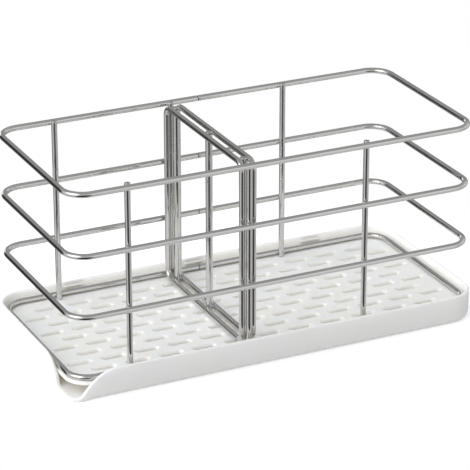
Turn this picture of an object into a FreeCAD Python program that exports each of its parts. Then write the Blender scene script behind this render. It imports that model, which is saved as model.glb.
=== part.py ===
"""Kitchen sink caddy: a welded wire basket with a lift-out divider, a slotted drain plate and a drip tray.

Millimetres, +Z up. X runs along the length, the front faces -Y, and the spout is in the front left corner.
The origin is under the middle of the tray, on the surface that it stands on.
"""
import FreeCAD, Part
import math
import os

from FreeCAD import Vector

# General
overrun = 5.0            # how far a cutting solid passes the faces it cuts
pick_tolerance = 1e-4    # edges closer than this to a plane count as lying in it
rest_gap = 0.1           # between a loose piece and what it stands on

# Wire basket
wire_diameter = 3.2
ring_length = 235.0      # along the middle of the wire
ring_depth = 105.0       # along the middle of the wire
ring_corner_radius = 12.0
ring_pitch = 34.0
ring_names = ("base_ring", "lower_ring", "upper_ring", "top_ring")
weld_sink = 0.2          # how far two welded wires press into each other
seam_width = 0.6         # groove left where the ends of a ring are welded together
seam_depth = 0.15
seam_x = 1.5
upright_pitch_share = 0.2932   # of the ring's length
middle_upright_share = -0.0689  # of the ring's length, from its middle
wire_end_bevel = 0.3

# Divider
divider_play = 0.1       # between a basket upright and the frame wires on both sides of it
divider_end_gap = 1.7    # between the frames and the inside of the rings
divider_corner_radius = 5.0
strut_inset = 5.6        # from a frame's end wire to the strut beside it
strut_end_drop = 0.5     # how far a strut stays short of the frames' top and bottom

# Drain plate
plate_thickness = 2.2
plate_inset = 0.2        # from the outside of the base ring to the plate's edge
plate_edge_round = 0.5
slot_length = 12.4
slot_width = 3.2
slot_pitch = 19.25
slot_row_pitch = 10.15
slot_end_margin = 3.0    # least distance from the base ring to the end of a row
slot_row_margin = 6.0    # least distance from the base ring to the first row
slot_edge_round = 1.4
post_diameter = 5.0
post_height = 5.55

# Drip tray
tray_height = 16.0
tray_wall = 2.0
tray_floor = 1.5
tray_clearance = 0.9     # between the base ring and the wall at the rim
tray_lean = 0.2          # how far the wall leans in from the rim to the bottom
tray_bottom_round = 3.2
tray_inside_round = 1.2
tray_rim_round = 0.8

# Spout
spout_corner_radius = 8.0
spout_lip = 1.8             # height of the low rim between the ramps
spout_left_reach = 18.4     # from the tray's corner to the foot of the ramp on the left wall
spout_left_slope = 64.0     # steepest part of that ramp, in degrees
spout_left_top_bend = 16.7  # radius of the bend from the rim into that ramp
spout_left_foot_bend = 2.0  # radius of the bend from that ramp into the lip
spout_front_reach = 2.6     # the same for the ramp on the front wall
spout_front_slope = 50.0
spout_front_top_bend = 22.0
spout_front_foot_bend = 6.5

# Hold-down tabs on the front and back walls
tab_width = 13.0
tab_spacing_share = 0.3149  # of the ring's length
tab_play = 0.3           # between a tab's nose and the outside of the base ring
tab_gap = 0.4            # between a tab and the top of the base ring
tab_rim_drop = 0.2
tab_nose = 0.4           # height of a tab's upright nose

# Worked out from the sizes above
wire_radius = wire_diameter / 2
ring_outer_x = ring_length / 2 + wire_radius
ring_outer_y = ring_depth / 2 + wire_radius
ring_outer_corner = ring_corner_radius + wire_radius
strut_diameter = wire_diameter + 2 * (divider_play + weld_sink)
frame_offset = (wire_diameter + strut_diameter) / 2 - weld_sink
upright_pitch = ring_length * upright_pitch_share
middle_upright_x = ring_length * middle_upright_share
upright_y = ring_depth / 2 - wire_diameter + weld_sink
frame_half_depth = ring_depth / 2 - wire_diameter - divider_end_gap
plate_bottom_z = tray_floor + rest_gap + post_height
plate_top_z = plate_bottom_z + plate_thickness
base_ring_z = plate_top_z + rest_gap + wire_radius
top_ring_z = base_ring_z + (len(ring_names) - 1) * ring_pitch
tray_outer_x = ring_outer_x + tray_clearance + tray_wall
tray_outer_y = ring_outer_y + tray_clearance + tray_wall
tray_outer_corner = ring_outer_corner + tray_clearance + tray_wall
tab_spacing = ring_length * tab_spacing_share

X_AXIS = Vector(1, 0, 0)
Y_AXIS = Vector(0, 1, 0)
Z_AXIS = Vector(0, 0, 1)


def rounded_loop(centre, u_axis, v_axis, half_u, half_v, radii):
    """Closed wire of four straight runs and four corner arcs, with one radius for each corner."""
    directions = (u_axis, v_axis, u_axis * -1, v_axis * -1)
    halves = (half_u, half_v, half_u, half_v)
    arcs = []
    for i, radius in enumerate(radii):
        start = directions[i]
        end = directions[(i + 1) % len(directions)]
        middle = centre + start * (halves[i] - radius) + end * (halves[(i + 1) % len(halves)] - radius)
        bulge = (start + end) * (radius * math.sqrt(0.5))
        arcs.append(Part.Arc(middle + start * radius, middle + bulge, middle + end * radius).toShape())
    edges = []
    for i, arc in enumerate(arcs):
        following = arcs[(i + 1) % len(arcs)]
        edges.append(arc)
        edges.append(Part.LineSegment(arc.lastVertex().Point, following.firstVertex().Point).toShape())
    return Part.Wire(edges)


def bent_wire(path, diameter):
    """Round wire bent along a closed path."""
    first = path.Edges[0]
    start = first.valueAt(first.FirstParameter)
    along = first.tangentAt(first.FirstParameter)
    section = Part.Wire(Part.Circle(start, along, diameter / 2).toShape())
    return Part.Solid(path.makePipeShell([section], True, False))


def straight_wire(diameter, x, y, z_bottom, z_top):
    """Upright round wire with bevelled ends."""
    rod = Part.makeCylinder(diameter / 2, z_top - z_bottom, Vector(x, y, z_bottom))
    ends = edges_at_height(rod, z_bottom) + edges_at_height(rod, z_top)
    return rod.makeChamfer(wire_end_bevel, ends)


def edges_at_height(shape, z):
    """Edges of a shape that lie flat at the height z."""
    picked = []
    for edge in shape.Edges:
        box = edge.BoundBox
        if abs(box.ZMin - z) < pick_tolerance and abs(box.ZMax - z) < pick_tolerance:
            picked.append(edge)
    return picked


def ring(z):
    """Basket ring with the groove of its butt weld in the back run."""
    radii = (ring_corner_radius,) * 4
    loop = rounded_loop(Vector(0, 0, z), X_AXIS, Y_AXIS, ring_length / 2, ring_depth / 2, radii)
    seam_start = Vector(seam_x - seam_width / 2, ring_depth / 2, z)
    outside = Part.makeCylinder(wire_radius + overrun, seam_width, seam_start, X_AXIS)
    core = Part.makeCylinder(wire_radius - seam_depth, seam_width, seam_start, X_AXIS)
    return bent_wire(loop, wire_diameter).cut(outside.cut(core))


def divider_frame(x):
    """Upright rounded frame of the divider, level with the base ring and the top ring."""
    centre = Vector(x, 0, (base_ring_z + top_ring_z) / 2)
    half_height = (top_ring_z - base_ring_z) / 2
    radii = (divider_corner_radius,) * 4
    loop = rounded_loop(centre, Y_AXIS, Z_AXIS, frame_half_depth, half_height, radii)
    return bent_wire(loop, wire_diameter)


def slot_places():
    """Middle of every slot: rows by turns one slot shorter, each centred on the plate."""
    clear_length = ring_length - wire_diameter - 2 * slot_end_margin
    clear_depth = ring_depth - wire_diameter - 2 * slot_row_margin
    long_count = int((clear_length - slot_length) / slot_pitch) + 1
    row_count = int((clear_depth - slot_width) / slot_row_pitch) + 1
    rows = []
    for row in range(row_count):
        y = (row - (row_count - 1) / 2) * slot_row_pitch
        count = long_count - 1 + row % 2
        rows.append([Vector((i - (count - 1) / 2) * slot_pitch, y, 0) for i in range(count)])
    return rows


def drain_plate():
    """Slotted plate on short posts, which stand between the slots of two long rows."""
    base = Vector(0, 0, plate_bottom_z)
    half_x = ring_outer_x - plate_inset
    half_y = ring_outer_y - plate_inset
    outline_radii = (ring_outer_corner - plate_inset,) * 4
    outlines = [rounded_loop(base, X_AXIS, Y_AXIS, half_x, half_y, outline_radii)]
    rows = slot_places()
    end_radius = slot_width / 2
    for row in rows:
        for place in row:
            outlines.append(slot_outline(base + place, slot_length / 2 - end_radius, end_radius))
    face = Part.makeFace(outlines, "Part::FaceMakerBullseye")
    plate = face.extrude(Z_AXIS * plate_thickness)
    top = flat_face(plate, plate_top_z)
    slot_edges = [edge for wire in top.Wires if not wire.isSame(top.OuterWire) for edge in wire.Edges]
    plate = plate.makeFillet(slot_edge_round, slot_edges)
    plate = plate.makeFillet(plate_edge_round, flat_face(plate, plate_top_z).OuterWire.Edges)
    for row in (rows[1], rows[-2]):
        last = len(row) - 2
        for i in (0, len(row) // 4, last - len(row) // 4, last):
            foot = (row[i] + row[i + 1]) * 0.5 + Vector(0, 0, tray_floor + rest_gap)
            plate = plate.fuse(Part.makeCylinder(post_diameter / 2, post_height, foot))
    return plate.removeSplitter()


def slot_outline(middle, half_run, radius):
    """Stadium-shaped closed wire along X."""
    right = middle + X_AXIS * half_run
    left = middle - X_AXIS * half_run
    up = Y_AXIS * radius
    out = X_AXIS * radius
    edges = [
        Part.LineSegment(left - up, right - up).toShape(),
        Part.Arc(right - up, right + out, right + up).toShape(),
        Part.LineSegment(right + up, left + up).toShape(),
        Part.Arc(left + up, left - out, left - up).toShape(),
    ]
    return Part.Wire(edges)


def flat_face(shape, z):
    """Face of a shape that lies flat at the height z."""
    for face in shape.Faces:
        box = face.BoundBox
        if abs(box.ZMin - z) < pick_tolerance and abs(box.ZMax - z) < pick_tolerance:
            return face
    raise ValueError(f"no flat face at height {z}")


def tray_loop(inset, z):
    """Tray outline at a height, inset from the outer wall, with the spout's tighter corner."""
    lean = tray_lean * (tray_height - z) / tray_height
    shrink = inset + lean
    corner = tray_outer_corner - shrink
    radii = (corner, corner, spout_corner_radius - shrink, corner)
    return rounded_loop(Vector(0, 0, z), X_AXIS, Y_AXIS, tray_outer_x - shrink, tray_outer_y - shrink, radii)


def tray_block(inset, z_bottom, z_top, bottom_round):
    """Leaning block with a rounded bottom edge."""
    block = Part.makeLoft([tray_loop(inset, z_bottom), tray_loop(inset, z_top)], True, True)
    return block.makeFillet(bottom_round, edges_at_height(block, z_bottom))


def spout_cut(along, across, foot, far, across_end, steepest, top_bend, foot_bend):
    """Prism over the ramp that a wall falls by, from the rim down to the lip.

    along points down the ramp, across points into the tray through the wall, foot is where the ramp ends
    measured along the wall from the tray's centre, far is how far the prism goes on past it, and across_end is how
    far in it reaches. The ramp bends from the rim to its steepest slope, in degrees, and from there into the lip.
    """
    slope = math.radians(steepest)
    bends = top_bend + foot_bend
    straight_drop = tray_height - spout_lip - bends * (1 - math.cos(slope))
    run = bends * math.sin(slope) + straight_drop / math.tan(slope)

    def point(distance, z):
        return along * (foot + distance) + Z_AXIS * z

    def upper(angle):
        fall = top_bend * (1 - math.cos(angle))
        return point(top_bend * math.sin(angle) - run, tray_height - fall)

    def lower(angle):
        rise = foot_bend * (1 - math.cos(angle))
        return point(-foot_bend * math.sin(angle), spout_lip + rise)

    corners = [
        point(0, spout_lip),
        point(far, spout_lip),
        point(far, tray_height + overrun),
        point(-run, tray_height + overrun),
        point(-run, tray_height),
    ]
    edges = [Part.LineSegment(a, b).toShape() for a, b in zip(corners, corners[1:])]
    edges.append(Part.Arc(upper(0), upper(slope / 2), upper(slope)).toShape())
    edges.append(Part.LineSegment(upper(slope), lower(slope)).toShape())
    edges.append(Part.Arc(lower(slope), lower(slope / 2), lower(0)).toShape())
    outside = across * -(max(tray_outer_x, tray_outer_y) + overrun)
    profile = Part.Face(Part.Wire(edges)).translated(outside)
    return profile.extrude(across * across_end - outside)


def hold_down_tab(x, side):
    """Wedge on the inside of the front wall (side -1) or back wall (side 1), just above the base ring."""
    nose_y = ring_outer_y + tab_play
    root_y = tray_outer_y - tray_wall / 2
    low_z = base_ring_z + wire_radius + tab_gap
    top_z = tray_height - tab_rim_drop
    outline = [(root_y, low_z), (nose_y, low_z), (nose_y, low_z + tab_nose), (root_y, top_z)]
    points = [Vector(x - tab_width / 2, side * y, z) for y, z in outline]
    return Part.Face(Part.makePolygon(points + points[:1])).extrude(X_AXIS * tab_width)


def drip_tray():
    """Shallow tray with a rounded rim, hold-down tabs and a corner that falls to a pouring lip."""
    outer = tray_block(0, 0, tray_height, tray_bottom_round)
    inner = tray_block(tray_wall, tray_floor, tray_height + overrun, tray_inside_round)
    tray = outer.cut(inner)
    tray = tray.makeFillet(tray_rim_round, edges_at_height(tray, tray_height))
    for side in (-1, 1):
        for step in (-1, 0, 1):
            tray = tray.fuse(hold_down_tab(step * tab_spacing, side))
    left_foot = tray_outer_y - spout_left_reach
    front_foot = tray_outer_x - spout_front_reach
    left_shape = (spout_left_slope, spout_left_top_bend, spout_left_foot_bend)
    front_shape = (spout_front_slope, spout_front_top_bend, spout_front_foot_bend)
    left_far = spout_left_reach - spout_corner_radius * 3 / 4
    front_far = spout_front_reach + overrun
    left_end = spout_corner_radius / 2 - tray_outer_x
    front_end = spout_corner_radius - tray_outer_y
    left_cut = spout_cut(Y_AXIS * -1, X_AXIS, left_foot, left_far, left_end, *left_shape)
    front_cut = spout_cut(X_AXIS * -1, Y_AXIS, front_foot, front_far, front_end, *front_shape)
    return tray.cut(left_cut).cut(front_cut).removeSplitter()


def build():
    """All pieces by node name."""
    nodes = {}
    for level, name in enumerate(ring_names):
        nodes[name] = ring(base_ring_z + level * ring_pitch)
    for row, side in (("front", -1), ("back", 1)):
        for place, step in (("left", -1), ("middle", 0), ("right", 1)):
            x = middle_upright_x + step * upright_pitch
            ends = (base_ring_z - wire_radius, top_ring_z + wire_radius)
            nodes[f"{row}_{place}_upright"] = straight_wire(wire_diameter, x, side * upright_y, *ends)
    nodes["divider_left_frame"] = divider_frame(middle_upright_x - frame_offset)
    nodes["divider_right_frame"] = divider_frame(middle_upright_x + frame_offset)
    strut_ends = (base_ring_z - wire_radius + strut_end_drop, top_ring_z + wire_radius - strut_end_drop)
    for place, step in (("front", -1), ("middle", 0), ("back", 1)):
        y = step * (frame_half_depth - strut_inset)
        nodes[f"divider_{place}_strut"] = straight_wire(strut_diameter, middle_upright_x, y, *strut_ends)
    nodes["drain_plate"] = drain_plate()
    nodes["drip_tray"] = drip_tray()
    return nodes


os.makedirs("parts", exist_ok=True)
for node_name, shape in build().items():
    shape.exportStep(f"parts/{node_name}.step")
    box = shape.BoundBox
    print(f"{node_name}: valid {shape.isValid()}, {len(shape.Solids)} solid, {shape.Volume:.1f} mm3,"
          f" {box.XLength:.2f} x {box.YLength:.2f} x {box.ZLength:.2f} mm")
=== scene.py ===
"""Looks of a kitchen sink caddy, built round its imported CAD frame.

The caddy is a polished wire basket with a lift-out divider. It stands on a slotted drain plate in a drip tray.
Sizes in the classes are in millimetres, and meshes are in metres, in the frame's own axes.
"""
import logging
import math
from dataclasses import dataclass, field
from enum import Enum

import bmesh
import bpy
import numpy as np
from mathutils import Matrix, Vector


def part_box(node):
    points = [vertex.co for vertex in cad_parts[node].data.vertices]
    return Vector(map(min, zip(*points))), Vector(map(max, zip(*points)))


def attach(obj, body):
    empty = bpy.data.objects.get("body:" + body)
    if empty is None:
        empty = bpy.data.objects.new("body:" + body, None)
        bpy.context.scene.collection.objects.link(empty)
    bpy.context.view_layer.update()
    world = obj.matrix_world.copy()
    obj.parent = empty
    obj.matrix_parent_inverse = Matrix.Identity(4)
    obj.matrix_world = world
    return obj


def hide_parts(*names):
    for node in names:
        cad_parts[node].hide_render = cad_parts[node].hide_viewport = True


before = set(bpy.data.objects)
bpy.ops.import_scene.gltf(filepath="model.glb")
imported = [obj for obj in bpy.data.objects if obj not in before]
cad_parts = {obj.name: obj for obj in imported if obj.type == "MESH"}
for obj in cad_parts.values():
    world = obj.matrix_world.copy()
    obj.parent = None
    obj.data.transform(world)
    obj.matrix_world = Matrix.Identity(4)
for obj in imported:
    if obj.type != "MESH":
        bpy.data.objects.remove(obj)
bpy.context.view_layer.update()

MM = 0.001
MERGE_DISTANCE = 1e-7
WHITE = (1.0, 1.0, 1.0, 1.0)
BLACK = (0.0, 0.0, 0.0, 1.0)
END_SHARES = (0.0, 0.6, 0.95)  # of a wire's flat end, where its circles of points lie
END_POINTS = 5
SIDE_POINTS = 41
BEAD_LATITUDES = 9
BEAD_LONGITUDES = 16
SKY_SPAN = (0.1, 0.8)  # sines of the elevations between which the room goes from horizon to zenith
GROUND_SPAN = (-0.25, 0.05)
LOG = logging.getLogger("sink_caddy")

Triple = tuple[float, float, float]


class Slot(Enum):
    """Material slots of the record."""

    WIRE = "wire"
    PLATE = "plate"
    TRAY = "tray"


class Plane(Enum):
    """How a flat loop lies: the axes that its first, second and normal direction take."""

    LEVEL = (0, 1, 2)
    UPRIGHT = (1, 2, 0)


# Surfaces

@dataclass
class Surface:
    """Points, faces and attributes of a mesh that is still being put together.

    The run holds a place along and round a wire. The mark tells how near a point of a wire is to a butt weld,
    or how much painted glow shows at a point of the tray, standing in for light that soaks through the wall.
    """

    points: np.ndarray
    quads: np.ndarray
    run: np.ndarray | None = None
    caps: list[np.ndarray] = field(default_factory=list)
    mark: np.ndarray | None = None


def grid_quads(rows: int, columns: int, close_rows: bool, close_columns: bool) -> np.ndarray:
    """Corner numbers of the quads between neighbours on a grid numbered row by row.

    Args:
        rows: number of rows of points.
        columns: number of points in a row.
        close_rows: whether the last row joins the first.
        close_columns: whether each row's end joins its start.

    Returns:
        Array of four point numbers for each quad.
    """
    row, column = np.meshgrid(
        np.arange(rows if close_rows else rows - 1),
        np.arange(columns if close_columns else columns - 1),
        indexing="ij",
    )
    next_row = (row + 1) % rows
    next_column = (column + 1) % columns
    corners = (
        row * columns + column,
        next_row * columns + column,
        next_row * columns + next_column,
        row * columns + next_column,
    )
    return np.stack(corners, axis=-1).reshape(-1, 4)


@dataclass(frozen=True)
class RoundedLoop:
    """Closed path of four straight runs and four corner arcs in a plane.

    It starts at the lower end of the run on the +u side and goes round by +v, -u and -v. The direction that faces
    outwards turns from 0 to 360 degrees, by a quarter turn in each arc, and is constant on a run.
    """

    half_u: float
    half_v: float
    radii: tuple[float, float, float, float]

    def _layout(self) -> tuple[np.ndarray, np.ndarray, np.ndarray]:
        """Arc centres, run lengths and the lengths of the eight parts in order."""
        radii = np.array(self.radii)
        centres = np.stack(
            [
                np.array([1, -1, -1, 1]) * (self.half_u - radii),
                np.array([1, 1, -1, -1]) * (self.half_v - radii),
            ],
            axis=1,
        )
        runs = np.empty(len(radii))
        for axis, half in ((0, self.half_v), (1, self.half_u)):
            runs[axis::2] = 2 * half - radii[axis::2] - np.roll(radii, 1)[axis::2]
        parts = np.stack([runs, radii * math.pi / 2], axis=1).reshape(-1)
        return centres, runs, parts

    def length(self) -> float:
        """Length of the whole loop."""
        return float(self._layout()[2].sum())

    def at(self, along: np.ndarray) -> tuple[np.ndarray, np.ndarray]:
        """Points and outward directions at distances along the loop.

        A point is its corner's centre plus the radius times the outward direction, and on a run it is further back
        along the tangent by the distance that is left to the arc.

        Args:
            along: distances from the start, in any turn.

        Returns:
            Points and outward unit directions, one row each.
        """
        centres, runs, parts = self._layout()
        ends = np.cumsum(parts)
        along = np.mod(along, ends[-1])
        part = np.minimum(np.searchsorted(ends, along, side="right"), len(parts) - 1)
        corner = part // 2
        on_arc = part % 2
        local = along - (ends - parts)[part]
        radius = np.array(self.radii)[corner]
        angle = corner * math.pi / 2 + on_arc * local / radius
        outward = np.stack([np.cos(angle), np.sin(angle)], axis=1)
        tangent = np.stack([-np.sin(angle), np.cos(angle)], axis=1)
        back = (1 - on_arc) * (local - runs[corner])
        return centres[corner] + radius[:, None] * outward + back[:, None] * tangent, outward

    def stations(self, run_step: float, arc_step: float) -> np.ndarray:
        """Distances along the loop that follow its form.

        Args:
            run_step: largest spacing on a run.
            arc_step: largest spacing on an arc.

        Returns:
            Rising distances, from zero and below the loop's length.
        """
        parts = self._layout()[2]
        starts = np.cumsum(parts) - parts
        steps = (run_step, arc_step) * (len(parts) // 2)
        counts = [max(2, math.ceil(part / step)) for part, step in zip(parts, steps)]
        pieces = [start + part * np.arange(n) / n for start, part, n in zip(starts, parts, counts)]
        return np.concatenate(pieces)


def bent_wire(
    loop: RoundedLoop,
    along: np.ndarray,
    radius: np.ndarray,
    sides: int,
    plane: Plane,
    centre: np.ndarray,
) -> Surface:
    """Closed wire: a circle carried round a flat loop.

    A point is the loop's point plus the radius times (cos a) outwards plus the radius times (sin a) across the
    plane.

    Args:
        loop: path of the wire's middle.
        along: distances of the circles along the path.
        radius: radius at each of them.
        sides: points on a circle.
        plane: how the loop lies.
        centre: middle of the loop.

    Returns:
        The wire's surface, with its place along and round the wire as the attribute.
    """
    middle, outward = loop.at(along)
    angle = np.linspace(0, 2 * math.pi, sides, endpoint=False)
    out = radius[:, None] * np.cos(angle)
    across = radius[:, None] * np.sin(angle)
    flat = middle[:, None, :] + out[..., None] * outward[:, None, :]
    local = np.concatenate([flat, across[..., None]], axis=2).reshape(-1, 3)
    points = np.empty_like(local)
    points[:, list(plane.value)] = local
    run = np.stack([np.broadcast_to(along[:, None], out.shape), out, across], axis=2).reshape(-1, 3)
    return Surface(points + centre, grid_quads(len(along), sides, True, True), run)


def turned_wire(radius: float, end_round: float, low: np.ndarray, height: float, sides: int) -> Surface:
    """Straight upright wire: a profile turned about its axis.

    The profile goes out over a flat end, round a quarter circle, up the side and back the same way. A point is the
    foot plus (r cos a, r sin a, z).

    Args:
        radius: radius of the wire.
        end_round: radius of the rounded edge at its ends.
        low: middle of the lower end.
        height: length of the wire.
        sides: points on a circle.

    Returns:
        The wire's surface, with its place along and round the wire as the attribute.
    """
    turn = np.linspace(0, math.pi / 2, END_POINTS)
    flat = radius - end_round
    end_r = np.concatenate([flat * np.array(END_SHARES), flat + end_round * np.sin(turn)])
    end_z = np.concatenate([np.zeros(len(END_SHARES)), end_round * (1 - np.cos(turn))])
    side_z = np.linspace(end_round, height - end_round, SIDE_POINTS)[1:-1]
    r = np.concatenate([end_r, np.full(len(side_z), radius), end_r[::-1]])
    z = np.concatenate([end_z, side_z, height - end_z[::-1]])
    angle = np.linspace(0, 2 * math.pi, sides, endpoint=False)
    x = r[:, None] * np.cos(angle)
    y = r[:, None] * np.sin(angle)
    tall = np.broadcast_to(z[:, None], x.shape)
    points = np.stack([x, y, tall], axis=2).reshape(-1, 3) + low
    run = np.stack([tall, x, y], axis=2).reshape(-1, 3)
    return Surface(points, grid_quads(len(r), sides, False, True), run)


def weld_beads(centres: np.ndarray, semi_axes: np.ndarray) -> Surface:
    """Lens-shaped drops of weld metal.

    Each is a sphere's grid of latitude and longitude, stretched along the axes and set at its centre.

    Args:
        centres: middle of each bead, one row each.
        semi_axes: half sizes of a bead along the axes.

    Returns:
        All beads in one surface.
    """
    latitude = np.linspace(-math.pi / 2, math.pi / 2, BEAD_LATITUDES)
    longitude = np.linspace(0, 2 * math.pi, BEAD_LONGITUDES, endpoint=False)
    ring = np.cos(latitude)[:, None]
    unit = np.stack(
        [
            ring * np.cos(longitude),
            ring * np.sin(longitude),
            np.broadcast_to(np.sin(latitude)[:, None], (len(latitude), len(longitude))),
        ],
        axis=2,
    ).reshape(-1, 3)
    points = (centres[:, None, :] + unit * semi_axes).reshape(-1, 3)
    quads = grid_quads(len(latitude), len(longitude), False, True)
    starts = np.arange(len(centres))[:, None, None] * len(unit)
    return Surface(points, (quads + starts).reshape(-1, 4), points)


def node_box(node: str) -> tuple[np.ndarray, np.ndarray]:
    """Lowest and highest corner of a CAD node at rest, in millimetres."""
    low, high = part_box(node)
    return np.array(low) / MM, np.array(high) / MM


def add_piece(
    name: str,
    surface: Surface,
    body: str,
    material: bpy.types.Material,
    stands_for: tuple[str, ...] = (),
) -> bpy.types.Object:
    """Makes a mesh object of a surface and joins it to the frame.

    Points that fall together are merged, which closes poles, and faces are turned outwards.

    Args:
        name: name of the piece.
        surface: its surface, in millimetres.
        body: CAD body that it moves with.
        material: its material.
        stands_for: CAD nodes that it takes the place of.

    Returns:
        The new object.
    """
    mesh = bpy.data.meshes.new(name)
    faces = surface.quads.tolist() + [cap.tolist() for cap in surface.caps]
    mesh.from_pydata((surface.points * MM).tolist(), [], faces)
    if surface.run is not None:
        mesh.attributes.new("wire_run", "FLOAT_VECTOR", "POINT").data.foreach_set(
            "vector", surface.run.astype(np.float32).reshape(-1)
        )
    if surface.mark is not None:
        mesh.attributes.new("mark", "FLOAT", "POINT").data.foreach_set(
            "value", surface.mark.astype(np.float32)
        )
    shell = bmesh.new()
    shell.from_mesh(mesh)
    bmesh.ops.remove_doubles(shell, verts=shell.verts, dist=MERGE_DISTANCE)
    bmesh.ops.recalc_face_normals(shell, faces=shell.faces)
    shell.to_mesh(mesh)
    shell.free()
    mesh.shade_smooth()
    mesh.materials.append(material)
    piece = bpy.data.objects.new(name, mesh)
    bpy.context.scene.collection.objects.link(piece)
    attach(piece, body)
    if stands_for:
        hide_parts(*stands_for)
    LOG.info("%s: %d points on body %s", name, len(mesh.vertices), body)
    return piece


# Finishes

class NodeBench:
    """Adds and joins the nodes of one tree."""

    def __init__(self, tree: bpy.types.NodeTree) -> None:
        """Takes the tree to work on."""
        self.tree = tree

    def add(
        self, kind: str, inputs: dict[str | int, object] | None = None, **settings: object
    ) -> bpy.types.Node:
        """Adds a node, sets it up and joins its inputs.

        Args:
            kind: Blender's name of the node type.
            inputs: values or output sockets by input name or number.
            settings: properties of the node.

        Returns:
            The new node.
        """
        node = self.tree.nodes.new(kind)
        for key, value in settings.items():
            setattr(node, key, value)
        for key, value in (inputs or {}).items():
            if isinstance(value, bpy.types.NodeSocket):
                self.tree.links.new(value, node.inputs[key])
            else:
                node.inputs[key].default_value = value
        return node

    def math(self, operation: str, *values: object) -> bpy.types.NodeSocket:
        """Output of a Math node with these values or sockets as its inputs."""
        return self.add("ShaderNodeMath", dict(enumerate(values)), operation=operation).outputs[0]

    def ramp(
        self, value: bpy.types.NodeSocket, bounds: tuple[float, float], to: tuple[float, float]
    ) -> bpy.types.NodeSocket:
        """Maps a value from one span to another, with eased ends, and clamps it.

        Args:
            value: socket to map.
            bounds: span that it comes from.
            to: span that it goes to.

        Returns:
            The mapped socket.
        """
        inputs = {
            "Value": value, "From Min": bounds[0], "From Max": bounds[1], "To Min": to[0], "To Max": to[1],
        }
        return self.add("ShaderNodeMapRange", inputs, interpolation_type="SMOOTHSTEP").outputs["Result"]

    def blend(self, share: bpy.types.NodeSocket, first: object, second: object) -> bpy.types.NodeSocket:
        """Colour that goes from the first to the second as the share rises."""
        inputs = {"Factor": share, "A": first, "B": second}
        return self.add("ShaderNodeMix", inputs, data_type="RGBA").outputs["Result"]


class SurfaceEffects:
    """Shader node groups that several finishes share."""

    CLOUD_SPAN = (0.35, 0.65)
    SMEAR_SPAN = (0.3, 0.7)
    BROAD_SHARE = 0.04

    def __init__(self) -> None:
        """Builds the groups."""
        self.mottle = self._mottle()
        self.rub = self._rub()
        self.grain = self._grain()

    @staticmethod
    def _open(
        name: str, inputs: dict[str, str], outputs: dict[str, str]
    ) -> tuple[NodeBench, bpy.types.Node, bpy.types.Node]:
        """Starts a group.

        Args:
            name: name of the group.
            inputs: socket types by input name.
            outputs: socket types by output name.

        Returns:
            A bench on its tree, its input node and its output node.
        """
        tree = bpy.data.node_groups.new(name, "ShaderNodeTree")
        for label, kind in inputs.items():
            tree.interface.new_socket(label, in_out="INPUT", socket_type=kind)
        for label, kind in outputs.items():
            tree.interface.new_socket(label, in_out="OUTPUT", socket_type=kind)
        bench = NodeBench(tree)
        return bench, bench.add("NodeGroupInput"), bench.add("NodeGroupOutput")

    def _mottle(self) -> bpy.types.NodeTree:
        """Two close colours in soft clouds."""
        bench, given, made = self._open(
            "soft_mottle",
            {"Vector": "NodeSocketVector", "Scale": "NodeSocketFloat", "Light": "NodeSocketColor",
             "Dark": "NodeSocketColor"},
            {"Color": "NodeSocketColor"},
        )
        clouds = bench.add(
            "ShaderNodeTexNoise",
            {"Vector": given.outputs["Vector"], "Scale": given.outputs["Scale"], "Detail": 4.0, "Roughness": 0.55},
        )
        share = bench.ramp(clouds.outputs["Fac"], self.CLOUD_SPAN, (0.0, 1.0))
        mixed = bench.blend(share, given.outputs["Light"], given.outputs["Dark"])
        bench.tree.links.new(mixed, made.inputs["Color"])
        return bench.tree

    def _rub(self) -> bpy.types.NodeTree:
        """Roughness that wanders between two values where hands and cloths have rubbed."""
        bench, given, made = self._open(
            "rubbed_gloss",
            {"Vector": "NodeSocketVector", "Scale": "NodeSocketFloat", "Glossy": "NodeSocketFloat",
             "Dull": "NodeSocketFloat"},
            {"Roughness": "NodeSocketFloat"},
        )
        smear = bench.add(
            "ShaderNodeTexNoise",
            {"Vector": given.outputs["Vector"], "Scale": given.outputs["Scale"], "Detail": 3.0, "Distortion": 0.6},
        )
        share = bench.ramp(smear.outputs["Fac"], self.SMEAR_SPAN, (0.0, 1.0))
        spread = bench.math("SUBTRACT", given.outputs["Dull"], given.outputs["Glossy"])
        result = bench.math("MULTIPLY_ADD", share, spread, given.outputs["Glossy"])
        bench.tree.links.new(result, made.inputs["Roughness"])
        return bench.tree

    def _grain(self) -> bpy.types.NodeTree:
        """Fine height pattern of a tool's or mould's surface."""
        bench, given, made = self._open(
            "fine_grain",
            {"Vector": "NodeSocketVector", "Scale": "NodeSocketFloat", "Coarse": "NodeSocketFloat"},
            {"Height": "NodeSocketFloat"},
        )
        vector = given.outputs["Vector"]
        scale = given.outputs["Scale"]
        fine = bench.add("ShaderNodeTexNoise", {"Vector": vector, "Scale": scale, "Detail": 2.0})
        broad_scale = bench.math("MULTIPLY", scale, self.BROAD_SHARE)
        broad = bench.add("ShaderNodeTexNoise", {"Vector": vector, "Scale": broad_scale, "Detail": 1.0})
        result = bench.math("MULTIPLY_ADD", broad.outputs["Fac"], given.outputs["Coarse"], fine.outputs["Fac"])
        bench.tree.links.new(result, made.inputs["Height"])
        return bench.tree


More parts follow.
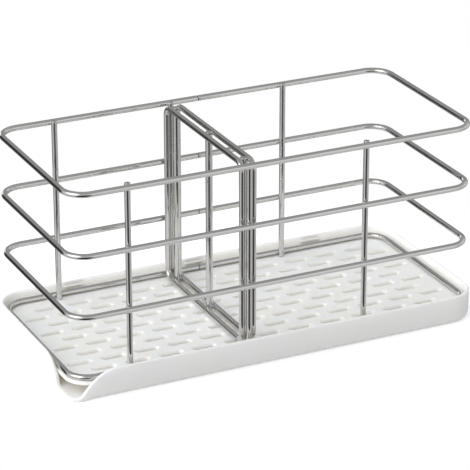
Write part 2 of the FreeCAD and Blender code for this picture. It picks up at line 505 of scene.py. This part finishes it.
@dataclass(frozen=True)
class SurfaceFinish:
    """A metal or plastic skin: colour clouds, rubbed gloss and a fine grain.

    The pattern's stretch is the factor on its three directions. On a wire these are along it and across it, and
    on a moulded piece they are the axes. Scorch is the colour of a wire's butt weld. Bleed is the share of light
    that scatters inside a plastic, to a depth in millimetres. Glow is painted light: emission that stands in for
    light soaking through thin plastic and lightens walls and slot walls that would be shaded. It shows by the
    piece's mark, or else where the surface is steep.
    """

    name: str
    light: Triple
    dark: Triple
    glossy: float
    dull: float
    metallic: float
    on_wire: bool
    stretch: Triple
    mottle_scale: float
    rub_scale: float
    grain_scale: float
    grain_coarse: float
    grain_depth: float
    scorch: Triple = (0.08, 0.075, 0.07)
    bleed: float = 0.0
    bleed_depth: float = 0.0
    bleed_tint: Triple = (1.0, 0.95, 0.86)
    painted_glow: Triple | None = None
    painted_glow_by_mark: bool = False
    steep_span: tuple[float, float] = (0.0, 0.9)

    def build(self, effects: SurfaceEffects) -> bpy.types.Material:
        """Makes the material.

        Args:
            effects: the shared node groups.

        Returns:
            The material.
        """
        material = bpy.data.materials.new(self.name)
        material.use_nodes = True
        bench = NodeBench(material.node_tree)
        shader = material.node_tree.nodes["Principled BSDF"]
        if self.on_wire:
            place = bench.add("ShaderNodeAttribute", attribute_name="wire_run").outputs["Vector"]
        else:
            place = bench.add("ShaderNodeTexCoord").outputs["Object"]
        vector = bench.add("ShaderNodeMapping", {"Vector": place, "Scale": self.stretch}).outputs["Vector"]
        mottle = bench.add("ShaderNodeGroup", node_tree=effects.mottle)
        rub = bench.add("ShaderNodeGroup", node_tree=effects.rub)
        grain = bench.add("ShaderNodeGroup", node_tree=effects.grain)
        for group, scale in ((mottle, self.mottle_scale), (rub, self.rub_scale), (grain, self.grain_scale)):
            bench.tree.links.new(vector, group.inputs["Vector"])
            group.inputs["Scale"].default_value = scale
        mottle.inputs["Light"].default_value = (*self.light, 1.0)
        mottle.inputs["Dark"].default_value = (*self.dark, 1.0)
        rub.inputs["Glossy"].default_value = self.glossy
        rub.inputs["Dull"].default_value = self.dull
        grain.inputs["Coarse"].default_value = self.grain_coarse
        bump = bench.add(
            "ShaderNodeBump",
            {"Strength": 1.0, "Distance": self.grain_depth * MM, "Height": grain.outputs["Height"]},
        )
        color = mottle.outputs["Color"]
        if self.on_wire:
            mark = bench.add("ShaderNodeAttribute", attribute_name="mark").outputs["Fac"]
            color = bench.blend(mark, color, (*self.scorch, 1.0))
        bench.tree.links.new(color, shader.inputs["Base Color"])
        bench.tree.links.new(rub.outputs["Roughness"], shader.inputs["Roughness"])
        bench.tree.links.new(bump.outputs["Normal"], shader.inputs["Normal"])
        shader.inputs["Metallic"].default_value = self.metallic
        if self.bleed > 0:
            shader.inputs["Subsurface Weight"].default_value = self.bleed
            shader.inputs["Subsurface Radius"].default_value = self.bleed_tint
            shader.inputs["Subsurface Scale"].default_value = self.bleed_depth * MM
        # Painted glow: emission that lightens shaded walls, standing in for light soaking through the plastic.
        if self.painted_glow:
            shown_glow = bench.blend(self._glow_share(bench), BLACK, (*self.painted_glow, 1.0))
            bench.tree.links.new(shown_glow, shader.inputs["Emission Color"])
            shader.inputs["Emission Strength"].default_value = 1.0
        return material

    def _glow_share(self, bench: NodeBench) -> bpy.types.NodeSocket:
        """Share of the painted glow that shows at a point.

        Args:
            bench: bench of the material's tree.

        Returns:
            The piece's mark, or how steep the surface is.
        """
        if self.painted_glow_by_mark:
            return bench.add("ShaderNodeAttribute", attribute_name="mark").outputs["Fac"]
        normal = bench.add("ShaderNodeNewGeometry").outputs["Normal"]
        upness = bench.math("ABSOLUTE", bench.add("ShaderNodeSeparateXYZ", {0: normal}).outputs["Z"])
        return bench.ramp(upness, self.steep_span, (1.0, 0.0))


POLISHED_WIRE = SurfaceFinish(
    "polished_wire", light=(0.70, 0.695, 0.685), dark=(0.63, 0.625, 0.615), glossy=0.05, dull=0.09,
    metallic=1.0, on_wire=True, stretch=(0.02, 1.0, 1.0), mottle_scale=1.1, rub_scale=0.9,
    grain_scale=6.0, grain_coarse=0.3, grain_depth=0.0006,
)
# The plate's painted glow lights its steep faces, so its slot walls and edges look brighter than their shade.
GLOSS_PLATE = SurfaceFinish(
    "gloss_white_plate", light=(0.985, 0.94, 0.866), dark=(0.973, 0.925, 0.847), glossy=0.14, dull=0.22,
    metallic=0.0, on_wire=False, stretch=(1.0, 1.0, 1.0), mottle_scale=28.0, rub_scale=36.0,
    grain_scale=2400.0, grain_coarse=1.5, grain_depth=0.006, bleed=1.0, bleed_depth=1.6,
    painted_glow=(0.14, 0.14, 0.132),
)
# The tray's painted glow follows its mark and lights the inside of its walls.
SATIN_TRAY = SurfaceFinish(
    "satin_white_tray", light=(0.98, 0.94, 0.868), dark=(0.968, 0.926, 0.85), glossy=0.34, dull=0.46,
    metallic=0.0, on_wire=False, stretch=(1.0, 1.0, 1.0), mottle_scale=24.0, rub_scale=30.0,
    grain_scale=1800.0, grain_coarse=2.0, grain_depth=0.008, bleed=0.8, bleed_depth=2.5,
    painted_glow=(0.22, 0.219, 0.214), painted_glow_by_mark=True,
)


# Sub-assemblies

@dataclass
class WireBasket:
    """Four bent rings on six uprights, welded where they touch."""

    rings: tuple[str, ...] = ("base_ring", "lower_ring", "upper_ring", "top_ring")
    rows: tuple[str, ...] = ("front", "back")
    places: tuple[str, ...] = ("left", "middle", "right")
    corner_radius: float = 12.0
    seam_x: float = 1.5
    seam_width: float = 1.0
    seam_depth: float = 0.28
    seam_points: int = 13
    run_step: float = 6.0
    arc_step: float = 0.6
    end_round: float = 0.35
    sides: int = 40
    bead: Triple = (1.15, 0.42, 1.15)
    bead_sink: float = 0.1

    def build(self, material: bpy.types.Material) -> None:
        """Makes all rings, uprights and weld beads.

        Args:
            material: finish of the wire.
        """
        for node in self.rings:
            self._ring(node, material)
        uprights = [f"{row}_{place}_upright" for row in self.rows for place in self.places]
        for node in uprights:
            self._upright(node, material)
        self._beads(uprights, material)

    def _ring(self, node: str, material: bpy.types.Material) -> None:
        """Makes one ring, with the shallow groove of its butt weld in the back run.

        The radius is less by a raised cosine of the distance to the weld, as deep as the groove. The mark is that
        cosine.

        Args:
            node: CAD node that it stands for.
            material: finish of the wire.
        """
        low, high = node_box(node)
        radius = (high[2] - low[2]) / 2
        half = (high - low) / 2 - radius
        loop = RoundedLoop(half[0], half[1], (self.corner_radius,) * 4)
        run_side = 2 * (half[1] - self.corner_radius) + self.corner_radius * math.pi / 2
        weld = run_side + half[0] - self.corner_radius - self.seam_x
        groove = np.linspace(-0.5, 0.5, self.seam_points) * self.seam_width
        rest = np.mod(loop.stations(self.run_step, self.arc_step) - weld, loop.length())
        clear = (rest > self.seam_width) & (rest < loop.length() - self.seam_width)
        offset = np.unique(np.concatenate([np.mod(groove, loop.length()), rest[clear]]))
        near = np.minimum(offset, loop.length() - offset)
        wave = 0.5 + 0.5 * np.cos(2 * math.pi * near / self.seam_width)
        dip = np.where(near < self.seam_width / 2, wave, 0.0)
        thickness = radius - self.seam_depth * dip
        surface = bent_wire(loop, offset + weld, thickness, self.sides, Plane.LEVEL, (low + high) / 2)
        surface.mark = np.repeat(dip, self.sides)
        add_piece(f"{node}_wire", surface, "basket", material, (node,))

    def _upright(self, node: str, material: bpy.types.Material) -> None:
        """Makes one straight upright with rounded ends.

        Args:
            node: CAD node that it stands for.
            material: finish of the wire.
        """
        low, high = node_box(node)
        radius = (high[0] - low[0]) / 2
        foot = np.array([(low[0] + high[0]) / 2, (low[1] + high[1]) / 2, low[2]])
        surface = turned_wire(radius, self.end_round, foot, high[2] - low[2], self.sides)
        add_piece(f"{node}_wire", surface, "basket", material, (node,))

    def _beads(self, uprights: list[str], material: bpy.types.Material) -> None:
        """Makes a weld bead wherever an upright touches a ring.

        Args:
            uprights: CAD nodes of the uprights.
            material: finish of the wire.
        """
        ring_boxes = [node_box(node) for node in self.rings]
        levels = np.array([(low[2] + high[2]) / 2 for low, high in ring_boxes])
        boxes = [node_box(node) for node in uprights]
        x = np.array([(low[0] + high[0]) / 2 for low, high in boxes])
        y = np.array([low[1] if low[1] < 0 else high[1] for low, high in boxes])
        y -= np.sign(y) * self.bead_sink
        centres = np.stack(
            [np.repeat(x, len(levels)), np.repeat(y, len(levels)), np.tile(levels, len(x))],
            axis=1,
        )
        surface = weld_beads(centres, np.array(self.bead))
        add_piece("basket_weld_beads", surface, "basket", material)


@dataclass
class LiftOutDivider:
    """Two upright wire frames held apart by three struts."""

    frames: tuple[str, ...] = ("divider_left_frame", "divider_right_frame")
    struts: tuple[str, ...] = ("divider_front_strut", "divider_middle_strut", "divider_back_strut")
    corner_radius: float = 5.0
    run_step: float = 6.0
    arc_step: float = 0.4
    end_round: float = 0.35
    sides: int = 40
    bead: Triple = (0.42, 1.25, 1.15)
    bead_sink: float = 0.1

    def build(self, material: bpy.types.Material) -> None:
        """Makes the frames, struts and weld beads.

        Args:
            material: finish of the wire.
        """
        for node in self.frames:
            low, high = node_box(node)
            radius = (high[0] - low[0]) / 2
            half = (high - low) / 2 - radius
            loop = RoundedLoop(half[1], half[2], (self.corner_radius,) * 4)
            along = loop.stations(self.run_step, self.arc_step)
            thickness = np.full(len(along), radius)
            surface = bent_wire(loop, along, thickness, self.sides, Plane.UPRIGHT, (low + high) / 2)
            add_piece(f"{node}_wire", surface, "divider", material, (node,))
        for node in self.struts:
            low, high = node_box(node)
            foot = np.array([(low[0] + high[0]) / 2, (low[1] + high[1]) / 2, low[2]])
            surface = turned_wire((high[0] - low[0]) / 2, self.end_round, foot, high[2] - low[2], self.sides)
            add_piece(f"{node}_wire", surface, "divider", material, (node,))
        self._beads(material)

    def _beads(self, material: bpy.types.Material) -> None:
        """Makes a weld bead wherever a strut touches a frame's top or bottom run.

        Args:
            material: finish of the wire.
        """
        strut_boxes = [node_box(node) for node in self.struts]
        y = np.array([(low[1] + high[1]) / 2 for low, high in strut_boxes])
        x = np.array([strut_boxes[0][0][0] + self.bead_sink, strut_boxes[0][1][0] - self.bead_sink])
        low, high = node_box(self.frames[0])
        radius = (high[0] - low[0]) / 2
        z = np.array([low[2] + radius, high[2] - radius])
        centres = np.stack(np.meshgrid(x, y, z, indexing="ij"), axis=-1).reshape(-1, 3)
        surface = weld_beads(centres, np.array(self.bead))
        add_piece("divider_weld_beads", surface, "divider", material)


@dataclass
class DrainPlate:
    """Slotted plate that the basket stands on."""

    node: str = "drain_plate"

    def build(self, material: bpy.types.Material) -> None:
        """Dresses the CAD plate, whose slots and edges are already right.

        Args:
            material: finish of the plate.
        """
        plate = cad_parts[self.node]
        plate.data.materials.clear()
        plate.data.materials.append(material)
        LOG.info("%s: kept from the CAD on body plate", self.node)


@dataclass(frozen=True)
class Ramp:
    """Way in which a wall falls from the rim to the lip, towards the corner with the spout.

    Reach is the distance from the corner to the ramp's foot, the slope is its steepest part in degrees, and the
    bends are the radii of the arcs that lead from the rim into it and from it into the lip.
    """

    reach: float
    slope: float
    top_bend: float
    foot_bend: float

    def height(self, place: np.ndarray, lip: float, top: float) -> np.ndarray:
        """Height of the rim at distances from the corner.

        It leaves the lip by an arc, goes on at the steepest slope and meets the full rim by a wide arc.

        Args:
            place: distances from the corner.
            lip: height of the lip.
            top: height of the full rim.

        Returns:
            Heights from the lip to the full rim.
        """
        slope = math.radians(self.slope)
        foot_run = self.foot_bend * math.sin(slope)
        foot_rise = self.foot_bend * (1 - math.cos(slope))
        top_run = self.top_bend * math.sin(slope)
        top_rise = self.top_bend * (1 - math.cos(slope))
        straight_run = (top - lip - foot_rise - top_rise) / math.tan(slope)
        whole = foot_run + straight_run + top_run
        up = np.clip(place - self.reach, 0.0, whole)
        left = whole - up
        foot = self.foot_bend - np.sqrt(np.maximum(self.foot_bend**2 - up**2, 0))
        straight = foot_rise + (up - foot_run) * math.tan(slope)
        crest = self.top_bend - np.sqrt(np.maximum(self.top_bend**2 - left**2, 0))
        rise = np.where(up < foot_run, foot, straight)
        return np.where(left < top_run, top - crest, lip + rise)


@dataclass
class DripTray:
    """Shallow tray whose front left corner falls to a pouring lip.

    The wall's section has its full form once the rim is well up the ramps. At the lip it has smaller rounds,
    which are limited to shares of the rim's height above the floor, and a swollen wall. The values for the painted
    glow set how much light is painted on the inside of the wall, standing in for light that comes through it, by
    the side of the tray and at the wall's foot.
    """

    node: str = "drip_tray"
    wall: float = 2.0
    floor: float = 1.5
    lean: float = 0.2
    corner_radius: float = 16.5
    bottom_round: float = 3.2
    lip_bottom_round: float = 0.6
    inside_round: float = 1.2
    rim_round: float = 0.98
    lip_round: float = 0.75
    spout_corner_radius: float = 8.0
    spout_lip: float = 1.8
    spout_swell: float = 0.6
    left_ramp: Ramp = Ramp(reach=18.4, slope=64.0, top_bend=16.7, foot_bend=2.0)
    front_ramp: Ramp = Ramp(reach=2.6, slope=50.0, top_bend=22.0, foot_bend=6.5)
    tab_width: float = 13.0
    tab_spacing: float = 74.0
    tab_root: float = 56.4
    tab_nose: float = 54.4
    tab_low: float = 13.05
    tab_nose_top: float = 13.45
    tab_high: float = 15.8
    tab_round: float = 0.5
    tab_end_shrink: float = 0.35
    # Height above the tab's underside from which the tab takes the painted glow.
    tab_glow_from: float = 0.05
    tab_steps: tuple[int, ...] = (-1, 0, 1)
    run_step: float = 3.0
    arc_step: float = 0.7
    spout_step: float = 0.35
    spout_span: float = 28.0
    turn_points: int = 8
    wall_points: int = 10
    full_form_rate: float = 1.5
    rim_share: float = 0.6
    foot_share: float = 0.35
    least_round: float = 0.2
    rim_flat: float = 0.02
    flat_margins: tuple[float, float] = (2.0, 0.3)
    # Painted glow on the inside of the wall, by side of the tray and at its foot, standing in for light that soaks
    # through.
    glow_least: float = 0.1
    glow_back: float = 0.9
    glow_right: float = 0.6
    glow_foot: float = 0.5

    def build(self, material: bpy.types.Material) -> None:
        """Makes the tray's shell and its hold-down tabs.

        Args:
            material: finish of the tray.
        """
        add_piece("drip_tray_shell", self._shell(), "tray", material, (self.node,))
        add_piece("drip_tray_tabs", self._tabs(), "tray", material)

    def _profile(self, rim: np.ndarray, height: float) -> tuple[np.ndarray, np.ndarray, np.ndarray]:
        """Section of the wall for each rim height, from the underside over the rim to the floor.

        Quarter circles join the flat underside, the leaning outside, the rim, the inside and the floor.

        Args:
            rim: height of the rim at each station.
            height: height of the full wall.

        Returns:
            Distances inwards from the loop at full height, and heights, one row for each station, and the share of
            the painted glow, which stands in for light that soaks through the wall, at each point of a row.
        """
        rim = rim[:, None]
        turn = np.linspace(0, math.pi / 2, self.turn_points)
        share = np.linspace(0, 1, self.wall_points)[1:-1]
        rise = (rim - self.spout_lip) / (height - self.spout_lip)
        full = np.clip(rise * self.full_form_rate, 0.0, 1.0)
        under = self.lip_bottom_round + full * (self.bottom_round - self.lip_bottom_round)
        out_round = self.lip_round + full * (self.rim_round - self.lip_round)
        wall = self.wall + (1 - full) * self.spout_swell
        in_drop = np.clip((rim - self.floor) * self.rim_share, self.least_round, self.rim_round)
        in_round = wall - out_round - self.rim_flat
        foot_round = np.clip((rim - self.floor) * self.foot_share, self.least_round, self.inside_round)
        wide, slim = self.flat_margins
        flat = np.zeros_like(rim)
        sections = (
            (flat + self.bottom_round + wide, flat),
            (flat + self.bottom_round + slim, flat),
            (under * (1 - np.sin(turn)), under * (1 - np.cos(turn))),
            (flat + 0 * share, under + share * (rim - out_round - under)),
            (out_round * (1 - np.cos(turn)), rim - out_round * (1 - np.sin(turn))),
            (wall - in_round * (1 - np.sin(turn)), rim - in_drop * (1 - np.cos(turn))),
            (wall + 0 * share, rim - in_drop - share * (rim - in_drop - self.floor - foot_round)),
            (wall + foot_round * (1 - np.cos(turn)), self.floor + foot_round * (1 - np.sin(turn))),
            (wall + foot_round + slim, flat + self.floor),
            (wall + foot_round + wide, flat + self.floor),
        )
        inwards = np.concatenate([section[0] for section in sections], axis=1)
        heights = np.concatenate([section[1] for section in sections], axis=1)
        # Share of the painted glow: rising round the inner rim, falling down the inside wall and its foot, none on
        # the floor.
        inside = np.concatenate(
            [np.sin(turn), 1 - (1 - self.glow_foot) * share, self.glow_foot * np.cos(turn), np.zeros(2)]
        )
        shown_glow = np.concatenate([np.zeros(heights.shape[1] - len(inside)), inside])
        return inwards + self.lean * (height - heights) / height, heights, shown_glow

    def _shell(self) -> Surface:
        """Tray's shell: the wall's section carried round its outline, closed by a flat underside and floor.

        The mark is the share of painted glow, which stands in for light that soaks through the wall. It falls from
        the back and right sides to the others, and there is none behind a tab, which leaves painted shade there.

        Returns:
            The shell's surface.
        """
        low, high = node_box(self.node)
        half = (high - low) / 2
        height = high[2]
        radii = (self.corner_radius, self.corner_radius, self.spout_corner_radius, self.corner_radius)
        loop = RoundedLoop(half[0], half[1], radii)
        coarse = loop.stations(self.run_step, self.arc_step)
        spots = loop.at(coarse)[0]
        reach = self.spout_span + np.array([self.front_ramp.reach, self.left_ramp.reach])
        near = np.all(spots < reach - half[:2], axis=1)
        fine = np.arange(coarse[near].min(), coarse[near].max(), self.spout_step)
        along = np.unique(np.concatenate([coarse[~near], fine]))
        middle, outward = loop.at(along)
        left = self.left_ramp.height(middle[:, 1] + half[1], self.spout_lip, height)
        front = self.front_ramp.height(middle[:, 0] + half[0], self.spout_lip, height)
        inwards, heights, shown_glow = self._profile(np.maximum(left, front), height)
        flat = middle[:, None, :] - inwards[..., None] * outward[:, None, :]
        points = np.concatenate([flat, heights[..., None]], axis=2)
        count, width = heights.shape
        rows = np.arange(count) * width
        quads = grid_quads(count, width, True, False)
        # Painted glow by side of the tray. Behind the tabs there is none, which leaves painted shade under them.
        side_glow = self.glow_least + self.glow_back * outward[:, 1] + self.glow_right * outward[:, 0]
        wall_glow = np.clip(side_glow, self.glow_least, 1.0)
        tab_places = self.tab_spacing * np.array(self.tab_steps)
        shaded = np.any(np.abs(middle[:, :1] - tab_places) < self.tab_width / 2, axis=1)
        mark = np.where(shaded, 0.0, wall_glow)[:, None] * shown_glow
        return Surface(points.reshape(-1, 3), quads, None, [rows, rows + width - 1], mark.reshape(-1))

    def _tabs(self) -> Surface:
        """Six wedges on the inside of the front and back walls.

        Each is a four-sided section carried along x, which shrinks by a quarter circle towards both ends. Its mark,
        the share of painted glow, is full except on the underside, which is left darker as painted shade.

        Returns:
            All tabs in one surface.
        """
        corners = np.array(
            [
                [self.tab_root, self.tab_low],
                [self.tab_nose, self.tab_low],
                [self.tab_nose, self.tab_nose_top],
                [self.tab_root, self.tab_high],
            ]
        )
        share = np.linspace(0, 1, 7)[:-1]
        following = np.roll(corners, -1, axis=0)
        section = (corners[:, None] + share[:, None] * (following - corners)[:, None]).reshape(-1, 2)
        # Painted glow on every face but the underside, which stays in painted shade.
        upper = np.where(section[:, 1] > self.tab_low + self.tab_glow_from, 1.0, 0.0)
        middle = section.mean(axis=0)
        turn = np.linspace(0, math.pi / 2, END_POINTS)
        half = self.tab_width / 2
        end = half - self.tab_round * (1 - np.sin(turn))
        shrink = 1 - (1 - np.cos(turn)) * self.tab_end_shrink
        along = np.concatenate([-end[::-1], end])
        size = np.concatenate([shrink[::-1], shrink])
        rings = middle + size[:, None, None] * (section - middle)
        reach = np.broadcast_to(along[:, None, None], rings.shape[:2] + (1,))
        shape = np.concatenate([reach, rings], axis=2).reshape(-1, 3)
        count, width = rings.shape[:2]
        sides = np.tile([-1, 1], len(self.tab_steps))
        steps = np.repeat(self.tab_steps, 2)
        points = np.repeat(shape[None], len(sides), axis=0)
        points[:, :, 0] += steps[:, None] * self.tab_spacing
        points[:, :, 1] *= sides[:, None]
        starts = np.arange(len(sides)) * len(shape)
        quads = grid_quads(count, width, False, True) + starts[:, None, None]
        ends = (starts[:, None] + np.array([0, len(shape) - width])).reshape(-1)
        caps = [end_start + np.arange(width) for end_start in ends]
        mark = np.tile(upper, count * len(sides))
        return Surface(points.reshape(-1, 3), quads.reshape(-1, 4), None, caps, mark)


# Studio

def towards(azimuth: float, elevation: float) -> Vector:
    """Unit vector to a direction in degrees: azimuth from +Y towards +X, and elevation above the horizon.

    Args:
        azimuth: turn about the vertical.
        elevation: height above the horizon.

    Returns:
        The unit vector.
    """
    a = math.radians(azimuth)
    e = math.radians(elevation)
    return Vector((math.sin(a) * math.cos(e), math.cos(a) * math.cos(e), math.sin(e)))


@dataclass(frozen=True)
class Patch:
    """Round patch of the room, whose brightness replaces what is behind it.

    Inner and outer are the angles from its middle within which it is full and beyond which it is gone.
    """

    azimuth: float
    elevation: float
    inner: float
    outer: float
    value: float

    def lay(
        self, bench: NodeBench, direction: bpy.types.NodeSocket, room: bpy.types.NodeSocket
    ) -> bpy.types.NodeSocket:
        """Lays the patch over the room.

        Args:
            bench: bench of the room's tree.
            direction: unit direction of the ray.
            room: brightness so far.

        Returns:
            The brightness with the patch.
        """
        middle = tuple(towards(self.azimuth, self.elevation))
        nearness = bench.add("ShaderNodeVectorMath", {0: direction, 1: middle}, operation="DOT_PRODUCT")
        bounds = (math.cos(math.radians(self.outer)), math.cos(math.radians(self.inner)))
        share = bench.ramp(nearness.outputs["Value"], bounds, (0.0, 1.0))
        mixed = bench.add("ShaderNodeMix", {"Factor": share, "A": room, "B": self.value}, data_type="FLOAT")
        return mixed.outputs["Result"]


@dataclass(frozen=True)
class Room:
    """Brightness of the studio all round: a gradient from below to the zenith, and patches over it."""

    below: float
    horizon: float
    zenith: float
    patches: tuple[Patch, ...]
    tint: Triple = (1.0, 1.0, 1.0)

    def build(self, bench: NodeBench, direction: bpy.types.NodeSocket) -> bpy.types.NodeSocket:
        """Makes the room's nodes.

        Args:
            bench: bench of the world's tree.
            direction: unit direction of the ray.

        Returns:
            Background shader of the room.
        """
        upness = bench.add("ShaderNodeSeparateXYZ", {0: direction}).outputs["Z"]
        above = bench.ramp(upness, SKY_SPAN, (self.horizon, self.zenith))
        under = bench.ramp(upness, GROUND_SPAN, (1.0, 0.0))
        room = bench.add("ShaderNodeMix", {"Factor": under, "A": above, "B": self.below}, data_type="FLOAT")
        brightness = room.outputs["Result"]
        for patch in self.patches:
            brightness = patch.lay(bench, direction, brightness)
        inputs = {"Color": (*self.tint, 1.0), "Strength": brightness}
        return bench.add("ShaderNodeBackground", inputs).outputs[0]


MIRRORED_ROOM = Room(
    below=0.66, horizon=0.85, zenith=0.42,
    patches=(
        Patch(25.0, -15.0, 25.0, 55.0, 0.30),
        Patch(10.0, 30.0, 12.0, 34.0, 0.36),
        Patch(-31.0, -3.0, 18.0, 36.0, 0.045),
        Patch(-3.0, 6.0, 4.0, 14.0, 1.5),
        Patch(155.0, 0.0, 18.0, 45.0, 0.89),
        Patch(152.0, -42.0, 16.0, 40.0, 0.73),
        Patch(122.0, -20.0, 12.0, 30.0, 0.56),
        Patch(-166.0, -25.0, 16.0, 40.0, 0.08),
        Patch(-152.0, -44.0, 17.0, 32.0, 0.015),
        Patch(-106.0, 24.0, 12.0, 38.0, 2.2),
    ),
)
LIGHTING_ROOM = Room(
    below=0.28, horizon=0.28, zenith=0.28, tint=(0.985, 1.0, 1.062),
    patches=(
        Patch(0.0, 90.0, 15.0, 60.0, 1.44),
        Patch(180.0, 20.0, 15.0, 50.0, 0.22),
        Patch(-90.0, 24.0, 15.0, 50.0, 2.44),
        Patch(0.0, 20.0, 15.0, 50.0, 0.50),
    ),
)


@dataclass
class Studio:
    """White sweep, and a room whose soft light comes mostly from above and the left and shows in the metal.

    Lengths of the camera are in millimetres, and those of the floor in metres.
    """

    aim: Triple = (-10.22, -19.85, 60.59)
    distance: float = 1363.055
    view_azimuth: float = 25.677
    view_elevation: float = -23.052
    lens: float = 194.671
    sensor: float = 36.0
    clip: tuple[float, float] = (0.05, 20.0)
    floor_half: float = 4.0
    floor_grey: float = 0.78
    floor_shine: float = 0.14
    floor_lift: float = 0.38
    sweep_span: tuple[float, float] = (0.12, 0.22)

    def build(self) -> None:
        """Sets up the camera, room and floor."""
        bpy.context.scene.view_settings.view_transform = "Standard"
        self._camera()
        self._room()
        self._floor()

    def _camera(self) -> None:
        """Places the camera on the line through the aim point."""
        data = bpy.data.cameras.new("photo_camera")
        data.lens = self.lens
        data.sensor_width = self.sensor
        data.clip_start, data.clip_end = self.clip
        camera = bpy.data.objects.new("photo_camera", data)
        bpy.context.scene.collection.objects.link(camera)
        forward = towards(self.view_azimuth, self.view_elevation)
        camera.location = (Vector(self.aim) - forward * self.distance) * MM
        camera.rotation_euler = forward.to_track_quat("-Z", "Y").to_euler()
        bpy.context.scene.camera = camera

    def _room(self) -> None:
        """Builds the room: white to the camera, one brightness to mirror rays and one to all others."""
        world = bpy.data.worlds.new("studio_room")
        world.use_nodes = True
        bpy.context.scene.world = world
        world.node_tree.nodes.clear()
        bench = NodeBench(world.node_tree)
        direction = bench.add("ShaderNodeTexCoord").outputs["Generated"]
        paths = bench.add("ShaderNodeLightPath").outputs
        white = bench.add("ShaderNodeBackground", {"Color": WHITE, "Strength": 1.0}).outputs[0]
        lit = LIGHTING_ROOM.build(bench, direction)
        mirrored = MIRRORED_ROOM.build(bench, direction)
        first = bench.math("SUBTRACT", paths["Is Glossy Ray"], paths["Diffuse Depth"])
        mixed = bench.add("ShaderNodeMixShader", {0: first, 1: lit, 2: mirrored}).outputs[0]
        shown = bench.add("ShaderNodeMixShader", {0: paths["Is Camera Ray"], 1: mixed, 2: white}).outputs[0]
        bench.add("ShaderNodeOutputWorld", {"Surface": shown})

    def _floor(self) -> None:
        """Lays a pale floor: matt with a faint shine, and to the camera lighter and a white sweep further out."""
        half = self.floor_half
        mesh = bpy.data.meshes.new("studio_floor")
        corners = [(-half, -half, 0), (half, -half, 0), (half, half, 0), (-half, half, 0)]
        mesh.from_pydata(corners, [], [(0, 1, 2, 3)])
        material = bpy.data.materials.new("pale_floor")
        material.use_nodes = True
        material.node_tree.nodes.clear()
        bench = NodeBench(material.node_tree)
        place = bench.add("ShaderNodeTexCoord").outputs["Object"]
        reach = bench.add("ShaderNodeVectorMath", {0: place}, operation="LENGTH").outputs["Value"]
        matt = bench.add("ShaderNodeBsdfDiffuse", {"Color": (*(self.floor_grey,) * 3, 1.0)}).outputs[0]
        levels = (self.floor_shine, self.floor_lift, 1.0)
        faint, lift, white = [
            bench.add("ShaderNodeEmission", {"Color": WHITE, "Strength": level}).outputs[0] for level in levels
        ]
        near = bench.add("ShaderNodeAddShader", {0: matt, 1: lift}).outputs[0]
        dim = bench.add("ShaderNodeAddShader", {0: matt, 1: faint}).outputs[0]
        sweep = bench.ramp(reach, self.sweep_span, (0.0, 1.0))
        shown = bench.add("ShaderNodeMixShader", {0: sweep, 1: near, 2: white}).outputs[0]
        seen = bench.add("ShaderNodeLightPath").outputs["Is Camera Ray"]
        mixed = bench.add("ShaderNodeMixShader", {0: seen, 1: dim, 2: shown}).outputs[0]
        bench.add("ShaderNodeOutputMaterial", {"Surface": mixed})
        mesh.materials.append(material)
        floor = bpy.data.objects.new("studio_floor", mesh)
        bpy.context.scene.collection.objects.link(floor)
        floor.visible_glossy = False


def main() -> None:
    """Builds the caddy's sub-assemblies and the studio in order."""
    logging.basicConfig(level=logging.INFO, format="%(name)s: %(message)s")
    effects = SurfaceEffects()
    wire = POLISHED_WIRE.build(effects)
    plate = GLOSS_PLATE.build(effects)
    tray = SATIN_TRAY.build(effects)
    WireBasket().build(wire)
    LiftOutDivider().build(wire)
    DrainPlate().build(plate)
    DripTray().build(tray)
    Studio().build()


if __name__ == "__main__":
    main()
